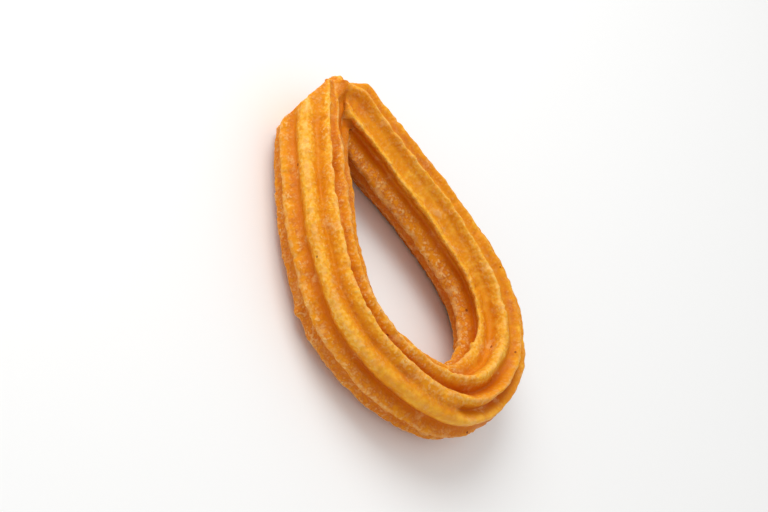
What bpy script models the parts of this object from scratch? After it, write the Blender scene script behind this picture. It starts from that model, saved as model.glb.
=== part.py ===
"""Teardrop loop churro: a ridged rope of fried dough bent round and pinched shut at its top.

It lies flat on the XY plane, with the pinch towards +Y. Lengths are in millimetres and
are turned into metres where the meshes are made.
"""
import math

import bmesh
import bpy
from mathutils import Vector

# ---- driving dimensions -------------------------------------------------------------------
MM = 0.001

ROPE_RADIUS = 10.1          # from the rope's centre to the crest of a ridge
GROOVE_DEPTH = 2.4          # crest to groove floor
RIDGES = 10                 # ridges round the rope, left by a ten-point star nozzle
CREST_SHARPNESS = 1.3       # above 1 the grooves are wider than the crests
RIDGE_TURN = -15.5          # degrees from straight up to the ridge nearest the top

# centre of the rope, from its left end round the bend to its right end
LOOP = [(-3.0, 54.0), (-8.0, 47.0), (-14.5, 36.5), (-23.5, 16.5), (-26.0, -3.0),
        (-16.5, -21.0), (-0.5, -30.5), (17.5, -24.5), (25.5, -7.5), (21.5, 13.0),
        (13.5, 32.0), (8.0, 44.5), (4.0, 54.0)]

# (distance from the end, share of the full radius), for the two pinched ends
LEFT_TAPER = [(0.0, 0.40), (2.0, 0.62), (5.0, 0.78), (10.0, 0.92), (17.0, 1.0)]
RIGHT_TAPER = [(0.0, 0.50), (1.5, 0.72), (4.0, 0.88), (9.0, 1.0)]
END_TWIST = 11.0            # degrees that the ridges turn outwards at the ends

REST_FLAT = 0.6             # taken off the lowest ridges where the churro lies

NUB_CENTRE = (1.0, 53.0, 0.0)       # pinched lump of dough that closes the loop
NUB_HALF_SIZE = (6.5, 5.5, 6.0)

STAR_POINTS_PER_RIDGE = 6
STEPS_PER_SPAN = 6          # cross-sections between two points of LOOP

DOUGH = (0.62, 0.29, 0.07, 1.0)


def remove_everything():
    for thing in list(bpy.data.objects):
        bpy.data.objects.remove(thing, do_unlink=True)


def dough_material():
    material = bpy.data.materials.new("fried_dough")
    material.use_nodes = True
    shader = material.node_tree.nodes["Principled BSDF"]
    shader.inputs["Base Color"].default_value = DOUGH
    shader.inputs["Roughness"].default_value = 0.6
    shader.inputs["Metallic"].default_value = 0.0
    return material


def star_radius(turn):
    """Radius of the ridged section at an angle in radians, 0 on a crest."""
    crest = (0.5 + 0.5 * math.cos(RIDGES * turn)) ** CREST_SHARPNESS
    return ROPE_RADIUS - GROOVE_DEPTH * (1.0 - crest)


def add_curve(name, points, cyclic):
    curve = bpy.data.curves.new(name, "CURVE")
    curve.dimensions = "3D"
    spline = curve.splines.new("POLY")
    spline.points.add(len(points) - 1)
    for slot, point in zip(spline.points, points):
        slot.co = (point[0] * MM, point[1] * MM, 0.0, 1.0)
    spline.use_cyclic_u = cyclic
    thing = bpy.data.objects.new(name, curve)
    bpy.context.collection.objects.link(thing)
    return thing


def add_star():
    count = RIDGES * STAR_POINTS_PER_RIDGE
    points = []
    for step in range(count):
        turn = 2.0 * math.pi * step / count
        radius = star_radius(turn)
        points.append((radius * math.sin(turn), radius * math.cos(turn)))
    return add_curve("star", points, cyclic=True)


def smooth_path(points):
    """Points along a smooth curve through the given ones (Catmull-Rom)."""
    knots = [Vector(point) for point in points]
    before = [2 * knots[0] - knots[1]] + knots
    ends = before + [2 * knots[-1] - knots[-2]]
    path = []
    for a, b, c, d in zip(ends, ends[1:], ends[2:], ends[3:]):
        for step in range(STEPS_PER_SPAN):
            t = step / STEPS_PER_SPAN
            path.append(0.5 * (2 * b + (c - a) * t + (2 * a - 5 * b + 4 * c - d) * t ** 2
                               + (3 * b - a - 3 * c + d) * t ** 3))
    path.append(knots[-1])
    return path


def taper_at(distance, table):
    """Share of the full radius at a distance from an end of the rope."""
    for (near, low), (far, high) in zip(table, table[1:]):
        if distance < far:
            return low + (high - low) * (distance - near) / (far - near)
    return 1.0


def add_rope(star):
    """Sweep the star along the loop, thinner at both ends and slightly twisted."""
    path = smooth_path(LOOP)
    rope = add_curve("rope", path, cyclic=False)
    rope.data.twist_mode = "Z_UP"
    rope.data.bevel_mode = "OBJECT"
    rope.data.bevel_object = star
    rope.data.use_fill_caps = True
    travelled = [0.0]
    for a, b in zip(path, path[1:]):
        travelled.append(travelled[-1] + (b - a).length)
    length = travelled[-1]
    for slot, distance in zip(rope.data.splines[0].points, travelled):
        left = taper_at(distance, LEFT_TAPER)
        right = taper_at(length - distance, RIGHT_TAPER)
        slot.radius = left * right
        from_middle = 2.0 * distance / length - 1.0
        slot.tilt = math.radians(RIDGE_TURN + END_TWIST * (from_middle ** 2 - 0.33))
    return rope


def mesh_of(thing):
    """The evaluated mesh of an object, welded and with its faces pointing out."""
    depsgraph = bpy.context.evaluated_depsgraph_get()
    mesh = bpy.data.meshes.new_from_object(thing.evaluated_get(depsgraph))
    work = bmesh.new()
    work.from_mesh(mesh)
    bmesh.ops.remove_doubles(work, verts=work.verts, dist=0.00001)
    bmesh.ops.recalc_face_normals(work, faces=work.faces)
    work.to_mesh(mesh)
    work.free()
    return mesh


def add_nub():
    """Rounded lump of dough where the two ends are pinched together."""
    mesh = bpy.data.meshes.new("nub")
    work = bmesh.new()
    bmesh.ops.create_icosphere(work, subdivisions=3, radius=1.0)
    bmesh.ops.scale(work, vec=Vector(NUB_HALF_SIZE) * MM, verts=work.verts)
    bmesh.ops.translate(work, vec=Vector(NUB_CENTRE) * MM, verts=work.verts)
    work.to_mesh(mesh)
    work.free()
    nub = bpy.data.objects.new("nub", mesh)
    bpy.context.collection.objects.link(nub)
    return nub


def fuse(thing, nub):
    """Join the overlapping ends of the rope and the nub into one closed body."""
    union = thing.modifiers.new("fuse", "BOOLEAN")
    union.operation = "UNION"
    union.solver = "EXACT"
    union.use_self = True
    union.object = nub
    mesh = mesh_of(thing)
    thing.modifiers.clear()
    thing.data = mesh


def flatten_rest(mesh, height):
    """Cut the lowest ridges level, so that the churro lies on flat strips."""
    work = bmesh.new()
    work.from_mesh(mesh)
    geometry = list(work.verts) + list(work.edges) + list(work.faces)
    cut = bmesh.ops.bisect_plane(work, geom=geometry, plane_co=(0.0, 0.0, height),
                                 plane_no=(0.0, 0.0, -1.0), clear_outer=True)
    rim = [item for item in cut["geom_cut"] if isinstance(item, bmesh.types.BMEdge)]
    bmesh.ops.holes_fill(work, edges=rim, sides=0)
    bmesh.ops.triangulate(work, faces=work.faces)
    bmesh.ops.remove_doubles(work, verts=work.verts, dist=0.00002)
    bmesh.ops.recalc_face_normals(work, faces=work.faces)
    work.to_mesh(mesh)
    work.free()


def stand_on_origin(mesh):
    """Put the middle of the footprint at the origin and the lowest point at height 0."""
    corners = [vertex.co for vertex in mesh.vertices]
    middle = Vector([(min(c[i] for c in corners) + max(c[i] for c in corners)) / 2
                     for i in range(3)])
    middle.z = min(c.z for c in corners)
    for vertex in mesh.vertices:
        vertex.co -= middle


def main():
    remove_everything()
    star = add_star()
    rope = add_rope(star)
    nub = add_nub()
    churro = bpy.data.objects.new("churro", mesh_of(rope))
    bpy.context.collection.objects.link(churro)
    fuse(churro, nub)
    for guide in (star, rope, nub):
        bpy.data.objects.remove(guide, do_unlink=True)
    lowest = min(vertex.co.z for vertex in churro.data.vertices)
    flatten_rest(churro.data, lowest + REST_FLAT * MM)
    stand_on_origin(churro.data)
    churro.data.materials.append(dough_material())
    churro.data.shade_smooth()
    churro.data.set_sharp_from_angle(angle=math.radians(50))


if __name__ == "__main__":
    main()
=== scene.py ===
"""Loop churro: a ridged rope of fried dough, bent into a teardrop and pinched shut.

Laid out as an add-on: one operator pipes, pinches and fries the churro, one sets the stage.
"""
import math
import random

import bpy  # noqa: E402
import numpy as np  # noqa: E402
from mathutils import Matrix, Vector, noise  # noqa: E402


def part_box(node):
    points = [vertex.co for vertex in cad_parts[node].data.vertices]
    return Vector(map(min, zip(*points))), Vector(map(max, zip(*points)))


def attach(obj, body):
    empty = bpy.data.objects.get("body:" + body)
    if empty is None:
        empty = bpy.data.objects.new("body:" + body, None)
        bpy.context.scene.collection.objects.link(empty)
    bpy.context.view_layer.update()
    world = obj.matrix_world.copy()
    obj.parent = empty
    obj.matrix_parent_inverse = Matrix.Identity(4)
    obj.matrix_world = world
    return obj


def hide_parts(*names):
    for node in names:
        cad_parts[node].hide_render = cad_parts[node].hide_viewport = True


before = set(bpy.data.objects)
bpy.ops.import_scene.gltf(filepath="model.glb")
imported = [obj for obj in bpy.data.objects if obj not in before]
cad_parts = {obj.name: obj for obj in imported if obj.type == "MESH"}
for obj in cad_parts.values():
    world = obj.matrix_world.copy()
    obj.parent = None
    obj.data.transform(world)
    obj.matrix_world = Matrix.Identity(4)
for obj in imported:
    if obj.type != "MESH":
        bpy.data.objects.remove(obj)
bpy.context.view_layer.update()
LOW = Vector(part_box("churro")[0])

bl_info = {
    "name": "Loop churro",
    "version": (1, 0, 0),
    "blender": (4, 5, 0),
    "location": "View3D > Sidebar > Churro",
    "description": "Pipes, pinches and fries a ridged loop churro",
    "category": "Object",
}

MM = 0.001

# ---- the rope, in millimetres, with the loop's own zero inside its round bend -------------
RIDGES = 10                 # ridges round the rope, left by the star nozzle
CREST_SHARPNESS = 1.3       # above 1 the grooves are wider than the crests
RIDGE_TURN = -15.5          # degrees from straight up to the ridge nearest the top
FIRST_RIDGE = -4            # number of the first of them; see the lists below

# centre of the rope, from its left end round the bend to its right end; the first and the
# last point are spare length, which is cut off where the ends are pinched
LOOP = [(0.5, 58.5), (-3.0, 54.0), (-8.0, 47.0), (-14.5, 36.5), (-23.5, 16.5), (-26.0, -3.0),
        (-16.5, -21.0), (-0.5, -30.5), (17.5, -24.5), (25.5, -7.5), (21.5, 13.0),
        (13.5, 32.0), (8.0, 44.5), (4.0, 54.0), (2.0, 59.5)]
SPAN_STEPS = 60             # steps between two points of the loop while its length is measured

# (distance from the end, share of the full radius), for the two pinched ends
LEFT_TAPER = [(0.0, 0.90), (6.0, 0.97), (14.0, 1.0)]
RIGHT_TAPER = [(0.0, 0.98), (8.0, 1.0)]

# flat faces of the pinch: direction that each faces, and its distance from the loop's zero
PINCH_CUTS = [((-0.275, 0.94, -0.2), 53.4), ((0.25, 0.93, 0.25), 54.8)]
# lumps of dough in the pinch: centre, size and rounding of each
PINCH_FILLING = ((-2.6, 50.0, 1.6), (7.0, 9.0, 9.0), 3.0)
NUB = ((1.6, 54.9, 3.8), (5.4, 7.0, 5.0), 0.9)
NUB_TURN = (-6.0, 42.0, -34.0)

POINTS_PER_RIDGE = 12       # round the star that is extruded
STATION_STEP = 1.0          # between two cross-sections while the rope is extruded
LOOP_ZERO = (0.388, -8.951, 9.340)   # where the loop's zero stands in the churro's frame

# Ridge 0 runs nearest the top, ridges 1 to 5 outside it, and -1 to -4 on the hole's side.
# A groove has the number of the ridge on its hole side. Each list is (along, value).
# how far a ridge strays from its even place, in degrees outwards
STRAY = {
    -1: [(90, 0), (104, -6), (125, -3), (150, 2), (206, 3)],
    0: [(0, 7), (60, 4), (95, 0), (140, 0), (165, 7), (206, 7)],
    1: [(0, -9), (30, -9), (70, -9), (95, -2), (110, 2), (150, 0)],
    2: [(0, -11), (60, -5), (80, -7), (100, -5), (120, 0)],
}
# how far a groove's floor strays from midway between its ridges, in degrees outwards
GROOVE_STRAY = {
    0: [(0, 0), (75, -1), (98, 0), (125, 2), (150, -1)],
    1: [(0, 2), (75, 0), (100, 4), (125, 0)],
    2: [(0, 2), (60, 0)],
    -2: [(110, 0), (130, 5)],
}
# above 1 a crest is thin, below 1 it is broad
SHARPNESS = {
    -2: [(100, 1.3), (130, 0.8)],
    -1: [(112, 1.3), (135, 2.4), (160, 3.4)],
    0: [(0, 1.8), (10, 1.3), (26, 0.6), (80, 0.7), (100, 1.0), (132, 1.0), (150, 1.5), (165, 3.5)],
    1: [(0, 2.8), (16, 2.0), (26, 1.1), (40, 0.9), (90, 0.8), (110, 1.2), (150, 1.5)],
    2: [(0, 1.2), (14, 0.8), (60, 0.8), (75, 0.55), (98, 0.55), (108, 1.1)],
    3: [(0, 0.9), (100, 1.2)],
}
# millimetres from the crests down to a groove's floor
DEPTH = {
    -3: [(0, 2.2)],
    -2: [(104, 0.8), (114, 2.3), (125, 3.2), (198, 3.3)],
    -1: [(0, 3.4), (40, 3.0), (98, 2.6), (112, 3.2), (130, 2.8), (150, 1.9), (206, 1.9)],
    0: [(0, 2.0), (25, 2.5), (60, 2.6), (85, 2.9), (97, 3.7), (112, 3.4), (121, 2.0), (150, 1.6)],
    1: [(0, 2.0), (15, 2.2), (70, 2.2), (80, 1.5), (85, 0.4), (94.5, 0.3), (98, 3.3), (118, 3.4),
        (135, 2.5)],
    2: [(0, 2.0), (40, 2.6), (70, 3.0), (100, 2.6)],
    3: [(0, 1.8), (60, 2.0), (110, 2.4)],
}
# millimetres that a crest stands proud of the even radius
SWELL = {
    -4: [(90, 0.0), (115, -0.8), (206, -0.8)],
    -3: [(90, 0.0), (115, -1.3), (206, -1.3)],
    -2: [(110, -0.2), (130, 0.4), (206, 0.4)],
    -1: [(0, -3.2), (13, -2.7), (24, -0.5), (100, -0.6), (106, 0.3), (130, 0.3), (150, 0.4)],
    0: [(0, -1.4), (9, -1.2), (19, 0.0), (95, 0.2), (115, 0.5), (140, 0.4)],
    1: [(0, 0.1), (110, 0.0)],
    2: [(0, -0.1), (60, 0.0), (78, 0.4), (92, 0.7), (100, 0.1), (110, -0.3), (130, 0.0)],
    3: [(0, -0.2), (60, -0.1), (95, 0.0), (105, -1.3), (118, -0.7), (140, 0.0)],
    4: [(0, -0.3), (60, 0.0), (95, 0.0), (105, -1.0), (118, -0.6), (140, 0.0)],
}
# how knobbly a crest is, as a multiple of the others
KNOBS = {
    -1: [(100, 1.0), (106, 3.0), (114, 1.5), (125, 0.8)],
    0: [(88, 1.0), (96, 2.6), (118, 2.6), (128, 1.2)],
    1: [(0, 1.2), (80, 1.0)],
    2: [(60, 1.0), (75, 0.3), (100, 0.3), (110, 1.0)],
}
# how dry and rough the crust is; below 1 it stayed smooth and a little glossy
DRYNESS = {
    -2: [(0, 1.4)],
    -1: [(0, 0.8)],
    0: [(0, 0.8), (60, 1.1), (110, 1.0), (150, 0.8)],
    1: [(0, 1.0), (92, 1.0), (104, 0.6), (125, 0.5)],
    2: [(0, 1.0), (62, 0.9), (76, 0.25), (118, 0.2), (135, 0.6)],
    3: [(0, 0.9), (60, 1.2), (85, 0.9), (100, 0.5)],
}
# how brown a ridge came out of the oil: below 0 pale, above 0 darker and redder
# painted shade: the high values on the lower ridges, outside (3, 4) and by the hole (-2 to -4)
TOAST_AND_SHADE = {
    -2: [(100, 0.7), (130, 1.3), (206, 1.3)],
    -1: [(0, 1.4), (40, 1.0), (98, 0.3), (112, -0.3), (150, -0.5), (206, -0.4)],
    0: [(0, 0.8), (60, 0.5), (100, 0.2), (118, -0.6), (145, -0.7), (206, -0.4)],
    1: [(0, -0.2), (60, -0.2), (100, 0.2), (150, 0.1)],
    2: [(0, -0.3), (60, -0.1), (95, -0.2), (120, 0.2)],
    3: [(0, 0.5), (50, 0.6), (75, 1.1), (115, 1.4), (140, 0.9)],
    4: [(0, 0.9), (90, 1.5), (140, 1.0)],
    -3: [(0, 0.8), (110, 1.2), (150, 2.4)],
    -4: [(0, 0.8), (150, 2.2)],
}
# what a ridge or groove has where it is in none of these lists
USUAL_DEPTH = 2.3
USUAL_TOAST_AND_SHADE = 0.3
USUAL_DRYNESS = 0.9

# random lines along each ridge: length of the waves in mm, first seed, and strength
WANDER = {
    "turn": (4.5, 0, 2.6),          # degrees
    "waver": (1.7, 20, 0.7),        # degrees
    "sharpness": (6.0, 40, 0.35),   # share
    "swell": (4.5, 60, 0.32),       # mm
    "knobs": (1.7, 80, 0.14),       # mm, before KNOBS
    "depth": (7.0, 100, 0.22),      # share
}
WANDER_STEP = 3.7           # between two seeds' lines, so that they don't look alike
RIDGE_STEPS = 4             # points of a ridge's line for each cross-section
SHALLOW_END = (0.6, 12.0)   # share of the depth at the left end, and where the rest is back
NARROWEST = 2.0             # degrees; a gap between ridges never counts as less

# ---- the pinch ----------------------------------------------------------------------------
SMOOTHINGS = 2              # times that the whole mesh is smoothed once it is pinched
PINCH_SMOOTHINGS = 3        # times that the pinch alone is smoothed before that
PINCH_SOFT = (3.0, 9.0)     # distances from an end over which the pinch's smoothing stops
PINCH_FREE = (5.0, 12.0)    # distances from an end over which the ridges come free of it
OWN_SIDE = (3.6, 2.4)       # in from the crests; deeper points are on a cut or a join
RIDGE_START = (-2.0, 3.0)   # distances from an end over which the ridges begin
PINCH_PRESS = 0.85          # share of what stands past a flat face that is pressed back
NUB_MARGIN = 0.4            # round the nub's block, still left alone by the press

# ---- small relief, in millimetres and degrees ---------------------------------------------
GRAIN_STEP = (17.3, 5.1, 9.7)   # between two seeds' noise
SMALL_LUMP = 0.8            # across
LUMP = 1.5
BIG_LUMP = 2.9
BIG_LUMP_SHARE = 0.8        # height of the big lumps as a share of the others'
# share of the lump height in a groove, and what a full crest adds to it
LUMPS_BY_CREST = (0.4, 0.9)
SMALL_LUMPS_BY_CREST = (0.15, 0.5)
LUMPS_BY_DRYNESS = (0.4, 0.6)   # share on smooth crust, and what dry crust adds

# cracks across the crests: the least and the most
NICK_SEED = 11
NICK_MARGIN = 6.0           # left free at both ends of the rope
NICK_GAP = (4.0, 13.0)      # from one to the next
NICK_OFF = (-9.0, 9.0)      # degrees from the crest
NICK_WIDTH = (0.35, 0.75)
NICK_REACH = (5.0, 11.0)    # degrees each way from its middle
NICK_SLANT = (-0.14, 0.14)  # along for each degree round
NICK_SHARE = (0.3, 1.0)     # of the nick depth

# blisters: the least and the most
BLISTERS = 260
BLISTER_SEED = 5
BLISTER_MARGIN = 2.0        # left free at both ends of the rope
BLISTER_RADIUS = (0.7, 1.9)
BLISTER_HEIGHT = (0.1, 0.16)    # share of its radius
BLISTER_SLOPE = 1.5         # above 1 it falls off before its radius
# bits torn loose at the crests: along, round from straight up, radius and height
TORN_BITS = [(56.0, 124.0, 1.3, 1.5), (61.0, 118.0, 1.6, 0.7), (118.0, -62.0, 1.4, 0.8),
             (112.0, -70.0, 1.2, 0.6)]
POINTS_AT_ONCE = 4000       # points of the skin measured against the path at a time

# ---- shader nodes: types with their settings ----------------------------------------------
TEXTURE_PLACE = ("ShaderNodeTexCoord", {})
NOISE = ("ShaderNodeTexNoise", {})
CELLS = ("ShaderNodeTexVoronoi", {})
STRETCH = ("ShaderNodeMapping", {})
# its inputs are a value, the start and the end of a range, and what these two become, which
# is 0 and 1 where it isn't given
SPREAD = ("ShaderNodeMapRange", {"interpolation_type": "SMOOTHSTEP"})
PLUS = ("ShaderNodeMath", {"operation": "ADD"})
MINUS = ("ShaderNodeMath", {"operation": "SUBTRACT"})
TIMES = ("ShaderNodeMath", {"operation": "MULTIPLY"})
BUMP = ("ShaderNodeBump", {})
BLEND = ("ShaderNodeMix", {"data_type": "RGBA"})
# the colour sockets of a blend, which share their names with its other sockets
UNDER = 6
OVER = 7
BLENDED = 2

# ---- the stage, in metres -----------------------------------------------------------------
FLOOR_SIZE = 6.0
ROOM_LIGHT = 0.73           # strength of the even light from all round
KEY_LIGHT = {"place": (-0.05, 0.42, 0.40), "target": (0.0, 0.0, 0.01), "size": 0.45, "power": 2.1}
LENS = 103.0                # millimetres, as is the sensor
SENSOR_WIDTH = 36.0
SHIFT = (-0.0298, 0.0471)   # of the frame, in frame widths
CAMERA_BACK = (-0.7614, -0.0846, 0.6428)    # from the churro to the camera
CAMERA_UP = (0.2006, 0.9121, 0.3576)
CAMERA_DISTANCE = 0.5632
CAMERA_TARGET = (0.00039, -0.00895, 0.00934)


# ---- small helpers ------------------------------------------------------------------------
def linear(hex_colour):
    """An sRGB hex colour as linear red, green, blue and alpha."""
    channels = [int(hex_colour[i:i + 2], 16) / 255 for i in (1, 3, 5)]
    return tuple(c / 12.92 if c <= 0.04045 else ((c + 0.055) / 1.055) ** 2.4
                 for c in channels) + (1.0,)


def add_node(tree, kind, inputs=(), output=0):
    """Add a shader node and return one of its outputs.

    A kind is a type of node with its settings. The inputs come in the node's own order, or by
    name or number, and each is a value to set or a socket to link from.
    """
    node_type, settings = kind
    node = tree.nodes.new(node_type)
    for name, value in settings.items():
        setattr(node, name, value)
    for name, value in inputs.items() if isinstance(inputs, dict) else enumerate(inputs):
        if isinstance(value, bpy.types.NodeSocket):
            tree.links.new(value, node.inputs[name])
        else:
            node.inputs[name].default_value = value
    return node.outputs[output]


def only(thing):
    """Select this object alone and make it the active one."""
    bpy.ops.object.select_all(action="DESELECT")
    thing.select_set(True)
    bpy.context.view_layer.objects.active = thing


def apply_modifier(thing, kind, **settings):
    """Add a modifier with these settings and apply it."""
    only(thing)
    modifier = thing.modifiers.new(kind.title(), kind)
    for name, value in settings.items():
        setattr(modifier, name, value)
    bpy.ops.object.modifier_apply(modifier=modifier.name)


def ramp(value, start, end):
    """0 at start, 1 at end, smooth between."""
    t = np.clip((value - start) / (end - start), 0.0, 1.0)
    return t * t * (3.0 - 2.0 * t)


def degrees_apart(turn, other):
    """How far one angle is from another, from -180 to 180 degrees."""
    return (turn - other + 180.0) % 360.0 - 180.0


def table(lists, ridge, along, other):
    """A value along a ridge from its list of (along, value), or the other where it has none."""
    if ridge not in lists:
        return np.full_like(along, other)
    return np.interp(along, *zip(*lists[ridge]))


def grain(places, size, seed):
    """Smooth noise from about -1 to 1 with lumps of this size, one value for each place."""
    start = Vector([step * seed for step in GRAIN_STEP])
    return np.array([noise.noise(Vector(place) / size + start) for place in places])


# ---- sizes and colours --------------------------------------------------------------------
def length(name, description, default, top):
    """A length in metres that a user may change."""
    return bpy.props.FloatProperty(
        name=name, description=description, default=default, min=0.0, max=top,
        subtype="DISTANCE", unit="LENGTH", precision=5)


def colour(name, description, hex_colour):
    """A colour that a user may change."""
    return bpy.props.FloatVectorProperty(
        name=name, description=description, default=linear(hex_colour), size=4, min=0.0,
        max=1.0, subtype="COLOR")


class ChurroShape(bpy.types.PropertyGroup):
    rope_radius: length("Rope radius", "From the rope's centre to the crest of a ridge",
                        0.0101, 0.02)
    groove_depth: length("Groove depth", "From crest to groove floor as piped", 0.0024, 0.005)
    end_twist: bpy.props.FloatProperty(
        name="End twist", description="Turn of the ridges outwards towards both ends",
        default=math.radians(11.0), subtype="ANGLE", unit="ROTATION")
    lump_height: length("Lump height", "Height of the uneven lumps on the crests", 0.00016, 0.001)
    nick_depth: length("Nick depth", "Depth of the cracks across the crests", 0.0004, 0.002)
    mesh_grain: length("Mesh grain", "Edge of the even mesh the relief is made on", 0.00048, 0.002)


class ChurroColours(bpy.types.PropertyGroup):
    pale: colour("Pale dough", "Least fried dough, on the broad crests", "#eeab30")
    golden: colour("Golden dough", "Most of the crust", "#e08c10")
    # also painted shade: this colour darkens the lower ridges, outside and by the hole
    toasted_and_shaded: colour("Toasted crust", "Browner crust by the hole and underneath", "#cc711c")
    # the groove colour is partly oily dough and partly painted shade deeper in the grooves
    groove: colour("Groove", "Smooth dough in the grooves", "#d67a00")
    # the deep colour is painted shade at the bottom of deep grooves and on the lower ridges, with
    # some real dark browning
    deep: colour("Deep groove", "Darkest dough at the bottom of deep grooves", "#cc5c00")
    # this colour also paints a highlight along the crest edges
    bubbles_and_highlight: colour("Bubbles", "Tiny dry bubbles on the crests", "#f2c67c")
    specks: colour("Burnt specks", "Few dark specks of burnt dough", "#7a3410")
    floor: colour("Floor", "Plain pale floor", "#f4f4f3")


# ---- the loop's path ----------------------------------------------------------------------
class Path:
    """A smooth, evenly stepped curve through the loop's points (Catmull-Rom)."""

    def __init__(self, points, step):
        knots = [Vector(point).to_3d() for point in points]
        ends = [2 * knots[0] - knots[1]] + knots + [2 * knots[-1] - knots[-2]]
        fine = []
        for a, b, c, d in zip(ends, ends[1:], ends[2:], ends[3:]):
            for i in range(SPAN_STEPS):
                t = i / SPAN_STEPS
                fine.append(0.5 * (2 * b + (c - a) * t + (2 * a - 5 * b + 4 * c - d) * t ** 2
                                   + (3 * b - a - 3 * c + d) * t ** 3))
        fine.append(knots[-1])
        fine = np.array(fine)
        gaps = np.linalg.norm(np.diff(fine, axis=0), axis=1)
        # the distance along the rope counts from the end of the first span, which is spare
        along = np.concatenate([[0.0], np.cumsum(gaps)])
        along -= along[SPAN_STEPS]
        self.length = float(along[-1 - SPAN_STEPS])
        count = round(float(along[-1] - along[0]) / step)
        self.along = np.linspace(along[0], along[-1], count + 1)
        self.place = np.stack([np.interp(self.along, along, fine[:, i]) for i in range(3)], 1)
        heading = np.gradient(self.place, axis=0)
        self.heading = heading / np.linalg.norm(heading, axis=1)[:, None]
        self.outward = np.stack([self.heading[:, 1], -self.heading[:, 0],
                                 np.zeros(count + 1)], 1)

    def radius_share(self, along):
        """Share of the full radius that the rope has at a distance along it."""
        left = np.interp(along, *zip(*LEFT_TAPER))
        right = np.interp(self.length - along, *zip(*RIGHT_TAPER))
        return left * right


def star_radius(turn, shape):
    """Radius in millimetres of the section as piped, at an angle in radians from a crest."""
    crest = (0.5 + 0.5 * np.cos(RIDGES * turn)) ** CREST_SHARPNESS
    return (shape.rope_radius - shape.groove_depth * (1.0 - crest)) / MM


# ---- the churro ---------------------------------------------------------------------------
def pipe_rope(path, shape):
    """Extrude a ten-pointed star along the loop."""
    outward = path.outward[0]
    bpy.ops.object.select_all(action="DESELECT")
    bpy.ops.mesh.primitive_circle_add(
        vertices=RIDGES * POINTS_PER_RIDGE, radius=shape.rope_radius, fill_type="NGON")
    rope = bpy.context.object
    rope.name = "rope"
    bpy.ops.object.mode_set(mode="EDIT")
    bpy.ops.mesh.select_mode(type="VERT")
    for phase in range(1, POINTS_PER_RIDGE):
        bpy.ops.mesh.select_all(action="DESELECT")
        bpy.ops.object.mode_set(mode="OBJECT")
        for index, vertex in enumerate(rope.data.vertices):
            vertex.select = index % POINTS_PER_RIDGE == phase
        bpy.ops.object.mode_set(mode="EDIT")
        turn = 2.0 * math.pi * phase / (RIDGES * POINTS_PER_RIDGE)
        share = float(star_radius(turn, shape)) * MM / shape.rope_radius
        bpy.ops.transform.resize(value=(share, share, 1.0), center_override=(0.0, 0.0, 0.0))
    bpy.ops.object.mode_set(mode="OBJECT")
    # the first vertex lies on +Y: turn the star so that a crest is RIDGE_TURN from up
    rope.rotation_euler = (0.0, 0.0, math.radians(-RIDGE_TURN))
    bpy.ops.object.transform_apply(location=False, rotation=True, scale=False)
    rope.rotation_euler = (math.pi / 2, 0.0, math.atan2(outward[1], outward[0]))
    rope.location = path.place[0] * MM
    shares = path.radius_share(path.along)
    rope.scale = (shares[0],) * 3
    bpy.ops.object.transform_apply(location=True, rotation=True, scale=True)

    bpy.ops.object.mode_set(mode="EDIT")
    bpy.ops.mesh.select_all(action="SELECT")
    for i in range(1, len(path.along)):
        here, there = path.heading[i - 1], path.heading[i]
        bend = math.atan2(here[0] * there[1] - here[1] * there[0], here[:2] @ there[:2])
        centre = tuple(path.place[i] * MM)
        step = tuple((path.place[i] - path.place[i - 1]) * MM)
        growth = float(shares[i] / shares[i - 1])
        bpy.ops.mesh.extrude_region_move(TRANSFORM_OT_translate={"value": step})
        # with no window a positive value turns clockwise
        bpy.ops.transform.rotate(value=-bend, orient_axis="Z", center_override=centre)
        bpy.ops.transform.resize(value=(growth,) * 3, center_override=centre)
    bpy.ops.mesh.select_all(action="SELECT")
    bpy.ops.mesh.normals_make_consistent(inside=False)
    bpy.ops.object.mode_set(mode="OBJECT")
    return rope


def add_lump(rope, centre, size, rounding, turn=(0.0, 0.0, 0.0)):
    """Press a rounded lump of dough onto the rope."""
    bpy.ops.object.select_all(action="DESELECT")
    bpy.ops.mesh.primitive_cube_add(size=MM, location=Vector(centre) * MM, scale=size)
    lump = bpy.context.object
    lump.rotation_euler = [math.radians(angle) for angle in turn]
    bpy.ops.object.transform_apply(location=True, rotation=True, scale=True)
    apply_modifier(lump, "BEVEL", width=rounding * MM, segments=4)
    only(rope)
    lump.select_set(True)
    bpy.ops.object.join()


def pinch(rope, shape):
    """Fuse the overlapping ends, cut the spare length off flat and add the nub on top."""
    add_lump(rope, *PINCH_FILLING)
    apply_modifier(rope, "REMESH", mode="VOXEL", voxel_size=shape.mesh_grain)
    bpy.ops.object.mode_set(mode="EDIT")
    for facing, distance in PINCH_CUTS:
        facing = Vector(facing).normalized()
        bpy.ops.mesh.select_all(action="SELECT")
        bpy.ops.mesh.bisect(plane_co=facing * distance * MM, plane_no=facing, use_fill=True,
                            clear_outer=True)
    bpy.ops.object.mode_set(mode="OBJECT")
    add_lump(rope, *NUB, NUB_TURN)
    apply_modifier(rope, "REMESH", mode="VOXEL", voxel_size=shape.mesh_grain)


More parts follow.
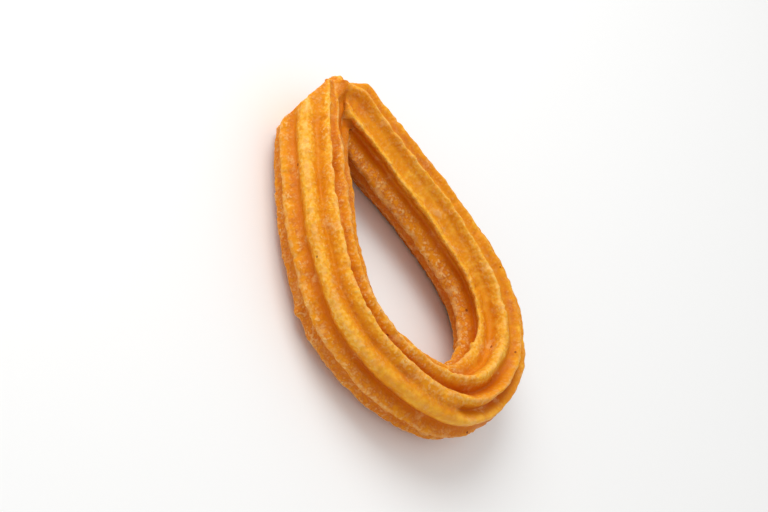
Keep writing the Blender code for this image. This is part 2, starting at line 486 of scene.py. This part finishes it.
class Skin:
    """Where each point of the skin lies on the rope, in millimetres and degrees.

    along is its distance along the rope, round its turn outwards from straight up, out its
    distance from the rope's centre in the direction radial, share the rope's share of the full
    radius there, and end_gap its distance from the nearer end.
    """

    def __init__(self, mesh, path):
        self.mesh = mesh
        self.path = path
        self.place = self.read("co") / MM
        nearest = np.empty(len(self.place), int)
        for start in range(0, len(self.place), POINTS_AT_ONCE):
            part = self.place[start:start + POINTS_AT_ONCE]
            gap = ((part[:, None, :] - path.place[None]) ** 2).sum(2)
            nearest[start:start + POINTS_AT_ONCE] = gap.argmin(1)
        away = self.place - path.place[nearest]
        slip = (away * path.heading[nearest]).sum(1)
        self.along = path.along[nearest] + slip
        self.radial = away - slip[:, None] * path.heading[nearest]
        self.out = np.linalg.norm(self.radial, axis=1)
        self.radial /= self.out[:, None]
        side = (self.radial * path.outward[nearest]).sum(1)
        self.round = np.degrees(np.arctan2(side, self.radial[:, 2]))
        self.share = path.radius_share(self.along)
        self.end_gap = np.minimum(self.along, path.length - self.along)

    def read(self, what):
        """The places ("co") or the normals ("normal") of the mesh's points."""
        flat = np.empty(len(self.mesh.vertices) * 3)
        self.mesh.vertices.foreach_get(what, flat)
        return flat.reshape(-1, 3)

    def write(self):
        """Put the points where place says."""
        self.mesh.vertices.foreach_set("co", (self.place * MM).ravel())
        self.mesh.update()

    def move(self, direction, distance):
        """Move each point by its own distance, all in one direction or each in its own."""
        self.place += direction * distance[:, None]
        self.write()

    def keep(self, name, values):
        """Store values for the crust's material to read."""
        layer = self.mesh.attributes.new(name, "FLOAT", "POINT")
        layer.data.foreach_set("value", values.astype(np.float32))


class Ridges:
    """The ten ridges as fried: each wanders, swells and thins along the rope."""

    def __init__(self, path, shape):
        self.along = np.linspace(path.along[0], path.along[-1], RIDGE_STEPS * len(path.along))
        # the ridges turn outwards towards both ends, and as far inwards between them
        from_middle = 2.0 * self.along / path.length - 1.0
        twist = math.degrees(shape.end_twist) * (from_middle ** 2 - 1 / 3)
        end_depth, end_reach = SHALLOW_END
        fade = end_depth + (1.0 - end_depth) * ramp(self.along, 0.0, end_reach)
        self.rows = {}
        for ridge in range(FIRST_RIDGE, FIRST_RIDGE + RIDGES):
            self.rows[ridge] = {
                "turn": RIDGE_TURN + 360 / RIDGES * ridge + twist
                + self.wander("turn", ridge) + self.wander("waver", ridge)
                + table(STRAY, ridge, self.along, 0.0),
                "sharpness": table(SHARPNESS, ridge, self.along, CREST_SHARPNESS)
                * (1.0 + self.wander("sharpness", ridge)),
                "swell": table(SWELL, ridge, self.along, 0.0) + self.wander("swell", ridge)
                + self.wander("knobs", ridge) * table(KNOBS, ridge, self.along, 1.0),
                "depth": table(DEPTH, ridge, self.along, USUAL_DEPTH) * fade
                * (1.0 + self.wander("depth", ridge)),
                "floor": table(GROOVE_STRAY, ridge, self.along, 0.0),
                "toast_and_shade": table(TOAST_AND_SHADE, ridge, self.along, USUAL_TOAST_AND_SHADE),
                "dry": table(DRYNESS, ridge, self.along, USUAL_DRYNESS),
            }

    def wander(self, kind, ridge):
        """A smooth random line along a ridge, either side of 0."""
        wave, first_seed, strength = WANDER[kind]
        seed = (first_seed + ridge) * WANDER_STEP
        line = [noise.noise(Vector((s / wave, seed, 0.5))) for s in self.along]
        return strength * np.array(line)

    def row(self, number):
        """A ridge's lines; past the tenth they come round again, a whole turn on."""
        ridge = (number - FIRST_RIDGE) % RIDGES + FIRST_RIDGE
        lines = dict(self.rows[ridge])
        lines["turn"] = lines["turn"] + 360 / RIDGES * (number - ridge)
        return lines

    def measure(self, skin):
        """What each point of the skin is like.

        crest is how near a crest it is, from 0 to 1, radius how far it stands out from the even
        radius in millimetres, the toast how brown it is, with painted shade on the lower ridges,
        and dry how dry it is.
        """
        def at(values):
            return np.interp(skin.along, self.along, values)

        result = {key: np.zeros(len(skin.along)) for key in ("crest", "radius", "toast_and_shade", "dry")}
        for number in range(FIRST_RIDGE - 2, FIRST_RIDGE + RIDGES):
            inner, outer = self.row(number), self.row(number + 1)
            start, end = at(inner["turn"]), at(outer["turn"])
            floor = (start + end) / 2 + at(inner["floor"])
            depth = at(inner["depth"])
            # across a groove the browning, with its painted shade, and the dryness run from ridge
            # to ridge
            across = ramp((skin.round - start) / np.maximum(end - start, NARROWEST), 0.2, 0.8)
            for lines, top, low, high in ((inner, start, start, floor), (outer, end, floor, end)):
                here = (skin.round >= low) & (skin.round < high)
                gap = np.abs(skin.round - top)
                share = np.clip(gap / np.maximum(np.abs(high - low), NARROWEST), 0.0, 1.0)
                crest = (0.5 + 0.5 * np.cos(math.pi * share)) ** at(lines["sharpness"])
                radius = at(lines["swell"]) * crest - depth * (1.0 - crest)
                result["crest"][here] = crest[here]
                result["radius"][here] = radius[here]
                for key in ("toast_and_shade", "dry"):
                    mixed = at(inner[key]) + (at(outer[key]) - at(inner[key])) * across
                    result[key][here] = mixed[here]
        return result


def swell_ridges(skin, found, shape):
    """Bring each point out or in from where it was piped to where the fried ridges have it."""
    full = shape.rope_radius / MM
    target = (full + found["radius"]) * skin.share
    piped = star_radius(np.radians(skin.round - RIDGE_TURN), shape) * skin.share
    # well away from the pinch the radius is set outright; near it the piped one is changed,
    # and only on the rope's own side, not on the cuts or where its two ends have run together
    free = ramp(skin.end_gap, *PINCH_FREE)
    own_side = ramp(skin.out / skin.share, full - OWN_SIDE[0], full - OWN_SIDE[1])
    side = own_side * ramp(skin.end_gap, *RIDGE_START)
    skin.move(skin.radial, free * (target - skin.out) + (1.0 - free) * side * (target - piped))


def press_pinch(skin):
    """Press what now stands past the flat faces of the pinch back onto them, but for the nub."""
    for facing, distance in PINCH_CUTS:
        facing = np.array(facing) / np.linalg.norm(facing)
        over = np.maximum(skin.place @ facing - distance, 0.0)
        in_nub = (np.abs(skin.place - NUB[0]) < np.array(NUB[1]) / 2 + NUB_MARGIN).all(1)
        pinched = (skin.end_gap < PINCH_FREE[1]) & ~in_nub
        skin.move(facing[None], np.where(pinched, -PINCH_PRESS * over, 0.0))


def raise_lumps(skin, found, shape):
    """Uneven lumps, highest on the dry crests and flattest in the grooves."""
    dryness = LUMPS_BY_DRYNESS[0] + LUMPS_BY_DRYNESS[1] * found["dry"]
    height = LUMPS_BY_CREST[0] + LUMPS_BY_CREST[1] * found["crest"]
    small_height = SMALL_LUMPS_BY_CREST[0] + SMALL_LUMPS_BY_CREST[1] * found["crest"]
    lumps = grain(skin.place, LUMP, 1) + BIG_LUMP_SHARE * grain(skin.place, BIG_LUMP, 2)
    small_lumps = grain(skin.place, SMALL_LUMP, 3)
    return shape.lump_height / MM * dryness * (height * lumps + small_height * small_lumps)


def cut_nicks(skin, ridges, shape):
    """Short cracks across the crests, where the dough tore as it swelled."""
    dice = random.Random(NICK_SEED)
    relief = np.zeros(len(skin.along))
    for number in range(FIRST_RIDGE, FIRST_RIDGE + RIDGES):
        along = NICK_MARGIN + dice.random() * NICK_MARGIN
        line = ridges.row(number)["turn"]
        while along < skin.path.length - NICK_MARGIN:
            centre = float(np.interp(along, ridges.along, line)) + dice.uniform(*NICK_OFF)
            width = dice.uniform(*NICK_WIDTH)
            reach = dice.uniform(*NICK_REACH)
            slant = dice.uniform(*NICK_SLANT)
            depth = dice.uniform(*NICK_SHARE) * shape.nick_depth / MM
            off = degrees_apart(skin.round, centre)
            lengthwise = (skin.along - along - slant * off) / width
            relief -= depth * np.exp(-lengthwise ** 2 - (off / reach) ** 2)
            along += dice.uniform(*NICK_GAP)
    return relief


def raise_blisters(skin):
    """Round blisters where steam lifted the crust, and the bits torn loose."""
    dice = random.Random(BLISTER_SEED)
    blisters = []
    for _ in range(BLISTERS):
        along = dice.uniform(BLISTER_MARGIN, skin.path.length - BLISTER_MARGIN)
        turn = dice.uniform(-180.0, 180.0)
        radius = dice.uniform(*BLISTER_RADIUS)
        height = dice.uniform(*BLISTER_HEIGHT) * radius
        blisters.append((along, turn, radius, height))
    relief = np.zeros(len(skin.along))
    for along, turn, radius, height in blisters + TORN_BITS:
        off = degrees_apart(skin.round, turn)
        gap = (skin.along - along) ** 2 + (np.radians(off) * skin.out) ** 2
        relief += height * np.exp(-gap / radius ** 2 * BLISTER_SLOPE)
    return relief


def fry(churro, path, shape):
    """Give the skin its wandering ridges, lumps, nicks and blisters."""
    skin = Skin(churro.data, path)
    ridges = Ridges(path, shape)
    found = ridges.measure(skin)
    swell_ridges(skin, found, shape)
    press_pinch(skin)
    relief = raise_lumps(skin, found, shape) + cut_nicks(skin, ridges, shape) + raise_blisters(skin)
    skin.move(skin.read("normal"), relief)
    skin.keep("crest", found["crest"])
    skin.keep("toast_and_shade", found["toast_and_shade"])
    skin.keep("relief", relief)
    skin.keep("dry", found["dry"])
    skin.keep("deep", np.maximum(-found["radius"], 0.0))
    turn = np.radians(skin.round)
    layer = skin.mesh.attributes.new("rope", "FLOAT_VECTOR", "POINT")
    rope = np.stack([skin.along, skin.out * np.sin(turn), skin.out * np.cos(turn)], 1) * MM
    layer.data.foreach_set("vector", rope.astype(np.float32).ravel())
    return skin


def settle(skin):
    """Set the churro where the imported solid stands, pressed flat where it touches the floor."""
    skin.place += np.array(LOOP_ZERO)
    skin.place[:, 2] = np.maximum(skin.place[:, 2], LOW.z / MM)
    skin.write()


def shape_churro(shape):
    """Pipe the rope, pinch its ends together, smooth the joins and fry it."""
    path = Path(LOOP, STATION_STEP)
    churro = pipe_rope(path, shape)
    pinch(churro, shape)
    churro.name = "fried_churro"
    weights = churro.vertex_groups.new(name="pinch")
    skin = Skin(churro.data, path)
    for index, gap in enumerate(skin.end_gap):
        if gap < PINCH_SOFT[1]:
            weights.add([index], 1.0 - float(ramp(gap, *PINCH_SOFT)), "REPLACE")
    apply_modifier(churro, "SMOOTH", factor=0.5, iterations=PINCH_SMOOTHINGS,
                   vertex_group="pinch")
    apply_modifier(churro, "SMOOTH", factor=0.5, iterations=SMOOTHINGS)
    churro.vertex_groups.clear()
    settle(fry(churro, path, shape))
    only(churro)
    bpy.ops.object.shade_smooth()
    return churro


def crust_material(colours):
    """Fried choux-like dough: matte, lumpy, golden, glossier and, with painted shade, darker in the
    grooves.
    """
    material = bpy.data.materials.new("fried_dough_crust")
    material.use_nodes = True
    tree = material.node_tree
    shader = tree.nodes["Principled BSDF"]

    place = add_node(tree, TEXTURE_PLACE, output="Object")
    rope = add_node(tree, ("ShaderNodeAttribute", {"attribute_name": "rope"}), output="Vector")
    crest, toast_and_shade, relief, deep, dry = (
        add_node(tree, ("ShaderNodeAttribute", {"attribute_name": name}), output="Fac")
        for name in ("crest", "toast_and_shade", "relief", "deep", "dry"))

    # cloudy browning, patches of about 9 mm with ragged edges
    patches = add_node(tree, NOISE, {
        "Vector": place, "Scale": 1 / (9.0 * MM), "Detail": 4.0, "Roughness": 0.6})
    # mottling of about 2 mm
    mottle = add_node(tree, NOISE, {
        "Vector": place, "Scale": 1 / (2.2 * MM), "Detail": 3.0, "Roughness": 0.6})
    # streaks drawn along the rope by the nozzle, about 12 mm long and 1 mm wide
    stretch = add_node(tree, STRETCH, {
        "Vector": rope, "Scale": (1 / (12.0 * MM), 1 / (1.1 * MM), 1 / (1.1 * MM))})
    streaks = add_node(tree, NOISE, {
        "Vector": stretch, "Scale": 1.0, "Detail": 2.0, "Roughness": 0.5})
    # grainy crust, pale and darker grains of about 1 mm; the real ones are finer, and these are
    # as coarse as they have to be to show
    grains = add_node(tree, NOISE, {
        "Vector": place, "Scale": 1 / (0.95 * MM), "Detail": 1.0, "Roughness": 0.5})
    # pale floury patches of about 4.5 mm, in the grooves as well
    floury = add_node(tree, NOISE, {
        "Vector": place, "Scale": 1 / (4.5 * MM), "Detail": 5.0, "Roughness": 0.7})
    # fine dry bubbles, 0.9 mm apart
    cells = add_node(tree, CELLS, {"Vector": place, "Scale": 1 / (0.9 * MM), "Randomness": 1.0})
    bubble = add_node(tree, SPREAD, (cells, 0.42, 0.12))
    # a few burnt specks, less than 1 mm across, one in some 6 mm
    spots = add_node(tree, CELLS, {"Vector": place, "Scale": 1 / (6.5 * MM), "Randomness": 1.0})
    speck = add_node(tree, SPREAD, (spots, 0.07, 0.045))

    # how brown a spot is, with painted shade: by its ridge, by the patches and by the mottling
    cloudy = add_node(tree, TIMES, (add_node(tree, MINUS, (patches, 0.5)), 3.8))
    mottled = add_node(tree, TIMES, (add_node(tree, MINUS, (mottle, 0.5)), 2.2))
    # the flanks are more golden and redder than the crests, which dried paler; partly painted shade
    flank_colour_and_shade = add_node(tree, SPREAD, (crest, 0.25, 0.9, 0.6, -0.3))
    browned_and_shaded = toast_and_shade
    for more in (cloudy, mottled, flank_colour_and_shade):
        browned_and_shaded = add_node(tree, PLUS, (browned_and_shaded, more))

    # oil keeps the grooves smooth and orange, in streaks, and deeper in them the groove colour is
    # also painted shade; between pale ridges the groove is nearly as pale as they are
    fried = add_node(tree, SPREAD, (toast_and_shade, -0.6, 0.1, 0.15, 1.0))
    low_down = add_node(tree, SPREAD, (deep, 0.9, 2.6))
    streaky = add_node(tree, SPREAD, (streaks, 0.3, 0.65, 0.35, 1.0))
    oily_groove_and_shade = add_node(tree, TIMES, (add_node(tree, TIMES, (low_down, streaky)), fried))
    # painted shade: the deep colour at the bottom of the deepest grooves
    floor = add_node(tree, TIMES, (add_node(tree, SPREAD, (deep, 1.7, 3.6, 0.0, 0.8)), fried))

    # the crust is crisp where it is dry and not deep in a groove, and most of all where raised
    crisp = add_node(tree, TIMES, (add_node(tree, SPREAD, (deep, 2.9, 0.6, 0.12, 1.0)), dry))
    raised = add_node(tree, TIMES, (
        crisp, add_node(tree, SPREAD, (relief, -0.15, 0.25, 0.3, 1.0))))
    dark_grain = add_node(tree, TIMES, (
        add_node(tree, SPREAD, (grains, 0.52, 0.36)), add_node(tree, TIMES, (crisp, 0.7))))
    pale_grain = add_node(tree, TIMES, (add_node(tree, SPREAD, (grains, 0.5, 0.68)), raised))
    dotted = add_node(tree, TIMES, (
        add_node(tree, TIMES, (bubble, raised)),
        add_node(tree, SPREAD, (mottle, 0.38, 0.68, 0.05, 0.8))))
    # painted highlight: a thin, broken pale line along the very edge of a crest
    painted_highlight = add_node(tree, TIMES, (
        add_node(tree, SPREAD, (crest, 0.86, 1.0)),
        add_node(tree, SPREAD, (dry, 0.2, 0.8, 0.1, 0.38))))
    broken_painted_highlight = add_node(tree, TIMES, (painted_highlight, add_node(tree, SPREAD, (mottle, 0.4, 0.6))))

    # each colour goes over the ones before it, by its share
    base = colours.pale
    for share, paint in (
            (add_node(tree, SPREAD, (browned_and_shaded, -0.9, 0.1)), colours.golden),
            # toasted crust, with painted shade on the lower ridges
            (add_node(tree, SPREAD, (browned_and_shaded, 0.1, 1.3)), colours.toasted_and_shaded),
            # the darkest browning, mostly painted shade on the lower ridges
            (add_node(tree, SPREAD, (browned_and_shaded, 1.5, 3.0, 0.0, 0.8)), colours.deep),
            # oily groove colour, deeper down also painted shade
            (oily_groove_and_shade, colours.groove),
            # painted shade at the bottom of the deepest grooves
            (floor, colours.deep),
            (dark_grain, colours.golden),
            (add_node(tree, SPREAD, (floury, 0.56, 0.7, 0.0, 0.4)), colours.bubbles_and_highlight),
            # painted highlight along the crest edges
            (broken_painted_highlight, colours.bubbles_and_highlight),
            (add_node(tree, TIMES, (pale_grain, 0.6)), colours.bubbles_and_highlight),
            (dotted, colours.bubbles_and_highlight),
            (add_node(tree, TIMES, (speck, 0.8)), colours.specks)):
        base = add_node(tree, BLEND, {"Factor": share, UNDER: base, OVER: paint}, BLENDED)
    tree.links.new(base, shader.inputs["Base Color"])

    rough = add_node(tree, PLUS, (
        add_node(tree, SPREAD, (crisp, 0.1, 0.7, 0.36, 0.56)),
        add_node(tree, TIMES, (mottle, 0.12))))
    tree.links.new(rough, shader.inputs["Roughness"])
    # dry dough has little sheen, and light passes a millimetre or so into it
    shader.inputs["Specular IOR Level"].default_value = 0.11
    shader.inputs["Subsurface Weight"].default_value = 0.25
    shader.inputs["Subsurface Radius"].default_value = (0.8, 0.45, 0.12)
    shader.inputs["Subsurface Scale"].default_value = 1.5 * MM

    # fine grit of about 1 mm, which the crisp crust shows and the grooves hardly do
    grit = add_node(tree, NOISE, {
        "Vector": place, "Scale": 1 / (0.9 * MM), "Detail": 1.0, "Roughness": 0.5})
    rugged = add_node(tree, TIMES, (
        add_node(tree, PLUS, (grit, grains)),
        add_node(tree, SPREAD, (crisp, 0.0, 0.7, 0.15, 1.0))))
    height = add_node(tree, PLUS, (add_node(tree, TIMES, (dotted, 0.6)), rugged))
    bump = add_node(tree, BUMP, {"Height": height, "Strength": 0.5, "Distance": 0.4 * MM})
    tree.links.new(bump, shader.inputs["Normal"])
    return material


class CHURRO_OT_pipe(bpy.types.Operator):
    """Pipe, pinch and fry the loop churro"""
    bl_idname = "churro.pipe"
    bl_label = "Pipe the churro"

    def execute(self, context):
        churro = shape_churro(context.scene.churro_shape)
        churro.data.materials.clear()
        churro.data.materials.append(crust_material(context.scene.churro_colours))
        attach(churro, "root")
        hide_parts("churro")
        return {"FINISHED"}


# ---- the stage ----------------------------------------------------------------------------
def floor_material(colours):
    """Matt white board: even and pale, with soft shadows and no gloss."""
    material = bpy.data.materials.new("white_floor")
    material.use_nodes = True
    shader = material.node_tree.nodes["Principled BSDF"]
    shader.inputs["Base Color"].default_value = colours.floor
    shader.inputs["Roughness"].default_value = 0.8
    return material


def add_camera():
    """Look down on the churro from its left, rolled so that the pinch is at the upper left."""
    camera = bpy.data.cameras.new("camera")
    camera.lens = LENS
    camera.sensor_width = SENSOR_WIDTH
    camera.shift_x, camera.shift_y = SHIFT
    thing = bpy.data.objects.new("camera", camera)
    bpy.context.collection.objects.link(thing)
    back = Vector(CAMERA_BACK).normalized()
    right = Vector(CAMERA_UP).cross(back).normalized()
    up = back.cross(right)
    place = back * CAMERA_DISTANCE + Vector(CAMERA_TARGET)
    turn = Matrix((right, up, back)).transposed().to_4x4()
    thing.matrix_world = Matrix.Translation(place) @ turn
    bpy.context.scene.camera = thing


def add_soft_light(name, place, target, size, power):
    """A round area lamp that faces its target."""
    lamp = bpy.data.lights.new(name, "AREA")
    lamp.shape = "DISK"
    lamp.size = size
    lamp.energy = power
    thing = bpy.data.objects.new(name, lamp)
    bpy.context.collection.objects.link(thing)
    thing.location = place
    aim = Vector(target) - Vector(place)
    thing.rotation_euler = aim.to_track_quat("-Z", "Y").to_euler()


class CHURRO_OT_stage(bpy.types.Operator):
    """Set the pale floor, the soft lights and the camera"""
    bl_idname = "churro.stage"
    bl_label = "Set the stage"

    def execute(self, context):
        bpy.ops.object.select_all(action="DESELECT")
        bpy.ops.mesh.primitive_plane_add(size=FLOOR_SIZE, location=(0.0, 0.0, LOW.z))
        floor = bpy.context.object
        floor.name = "floor"
        floor.data.materials.append(floor_material(context.scene.churro_colours))
        world = bpy.data.worlds.new("studio")
        world.use_nodes = True
        sky = world.node_tree.nodes["Background"]
        sky.inputs["Color"].default_value = (1.0, 1.0, 1.0, 1.0)
        sky.inputs["Strength"].default_value = ROOM_LIGHT
        context.scene.world = world
        add_soft_light("key", **KEY_LIGHT)
        context.scene.view_settings.view_transform = "Standard"
        add_camera()
        return {"FINISHED"}


class CHURRO_PT_panel(bpy.types.Panel):
    bl_label = "Churro"
    bl_idname = "CHURRO_PT_panel"
    bl_space_type = "VIEW_3D"
    bl_region_type = "UI"
    bl_category = "Churro"

    def draw(self, context):
        for group in (context.scene.churro_shape, context.scene.churro_colours):
            for name in group.__annotations__:
                self.layout.prop(group, name)
        self.layout.operator("churro.pipe")
        self.layout.operator("churro.stage")


CLASSES = (ChurroShape, ChurroColours, CHURRO_OT_pipe, CHURRO_OT_stage, CHURRO_PT_panel)


def register():
    for item in CLASSES:
        bpy.utils.register_class(item)
    bpy.types.Scene.churro_shape = bpy.props.PointerProperty(type=ChurroShape)
    bpy.types.Scene.churro_colours = bpy.props.PointerProperty(type=ChurroColours)


def unregister():
    del bpy.types.Scene.churro_colours
    del bpy.types.Scene.churro_shape
    for item in reversed(CLASSES):
        bpy.utils.unregister_class(item)


def main():
    """Set the stage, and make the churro."""
    register()
    bpy.ops.churro.stage()
    bpy.ops.churro.pipe()


if __name__ == "__main__":
    main()
